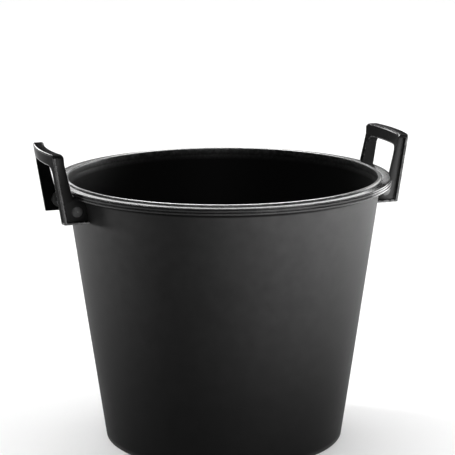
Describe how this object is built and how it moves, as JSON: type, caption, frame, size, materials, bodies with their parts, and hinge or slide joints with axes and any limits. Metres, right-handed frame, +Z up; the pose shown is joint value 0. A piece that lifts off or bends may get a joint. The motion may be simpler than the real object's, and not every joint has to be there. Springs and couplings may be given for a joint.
{
  "type": "mortar mixing tub",
  "caption": "Round tapered plastic tub for mixing mortar, with a stepped rim band and two upright loop handles pinned to lugs under the rim.",
  "frame": {"origin": "centre of the base, on the floor", "axes": "+Z up out of the mouth, +X through the right handle"},
  "size_m": [0.5604, 0.5, 0.4534],
  "materials": {
    "tub_plastic": "black polyethylene with a fine satin moulded grain",
    "band_plastic": "black polypropylene, semi-gloss",
    "handle_plastic": "black polypropylene, semi-gloss",
    "pin_plastic": "black nylon, smooth",
    "clip_steel": "blackened spring steel"
  },
  "bodies": {
    "root": {"tub_shell": "tub_plastic", "rim_band": "band_plastic", "left_handle": "handle_plastic", "right_handle": "handle_plastic", "left_front_pin": "pin_plastic", "left_front_clip": "clip_steel", "left_rear_pin": "pin_plastic", "left_rear_clip": "clip_steel", "right_front_pin": "pin_plastic", "right_front_clip": "clip_steel", "right_rear_pin": "pin_plastic", "right_rear_clip": "clip_steel"}
  },
  "joints": []
}
